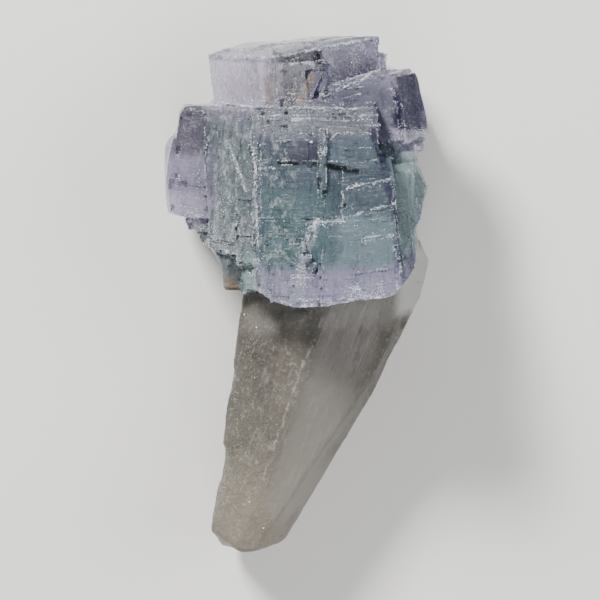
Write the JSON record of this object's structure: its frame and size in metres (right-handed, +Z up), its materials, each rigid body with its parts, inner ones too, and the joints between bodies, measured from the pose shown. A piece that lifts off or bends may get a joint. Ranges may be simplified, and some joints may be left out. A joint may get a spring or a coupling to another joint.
{
  "type": "fluorite cluster on quartz crystal",
  "caption": "Intergrown cubic fluorite crystals with stepped glassy faces, purple at the rims and blue-green inside, on the end of a broken milky quartz crystal.",
  "frame": {"origin": "on the surface that the specimen lies on, under the middle of its box", "axes": "+X across the specimen, +Y along it towards the fluorite end, +Z up, away from the surface that its flat back lies on"},
  "size_m": [0.0286, 0.0554, 0.0223],
  "materials": {
    "fluorite": "glassy, see-through, purple rims over a blue-green core",
    "quartz": "milky, half see-through, frosted where broken"
  },
  "bodies": {
    "root": {"fluorite_cubes": "fluorite", "quartz_crystal": "quartz"}
  },
  "joints": []
}
